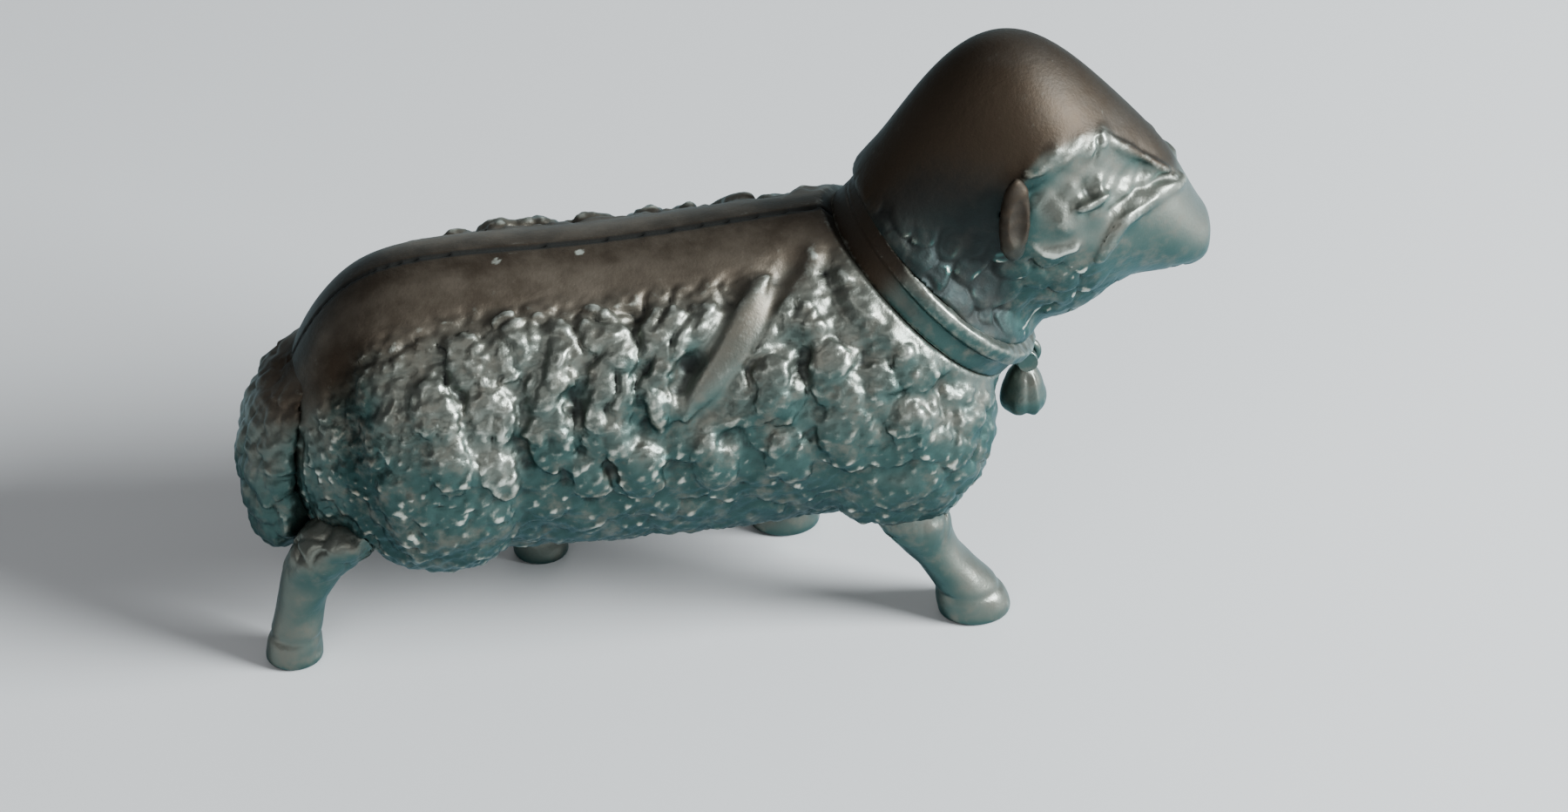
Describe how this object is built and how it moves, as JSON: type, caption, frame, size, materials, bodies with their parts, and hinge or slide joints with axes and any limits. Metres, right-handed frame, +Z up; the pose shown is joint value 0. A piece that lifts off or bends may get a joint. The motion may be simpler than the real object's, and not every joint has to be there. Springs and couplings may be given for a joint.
{
  "type": "sheep figurine",
  "caption": "Cast-metal sheep ornament, walking, with a hollow split trunk, pegged head, ears, legs and tail, and a collar that carries a swinging bell.",
  "frame": {"origin": "middle of the footprint box, on the ground under the feet", "axes": "+X along the body towards the head, +Y to the animal's left, +Z up"},
  "size_m": [0.0646, 0.0224, 0.0414],
  "materials": {
    "cast_brass": "aged dark brown and grey-green, worn bright on high spots",
    "pin_brass": "plain drawn wire"
  },
  "bodies": {
    "figure": {"right_trunk_half": "cast_brass", "left_trunk_half": "cast_brass", "head": "cast_brass", "right_ear": "cast_brass", "left_ear": "cast_brass", "tail": "cast_brass", "right_front_leg": "cast_brass", "left_front_leg": "cast_brass", "right_hind_leg": "cast_brass", "left_hind_leg": "cast_brass", "collar": "cast_brass", "bell_pin": "pin_brass", "seam_pins": "pin_brass", "neck_pin": "pin_brass"},
    "bell": {"bell": "cast_brass"}
  },
  "joints": [
    {"name": "bell_swing", "type": "hinge", "parent": "figure", "child": "bell", "pos_m": [0.02041, 0, 0.0171], "axis": [0, -1, 0], "range_deg": [-6, 75]}
  ]
}
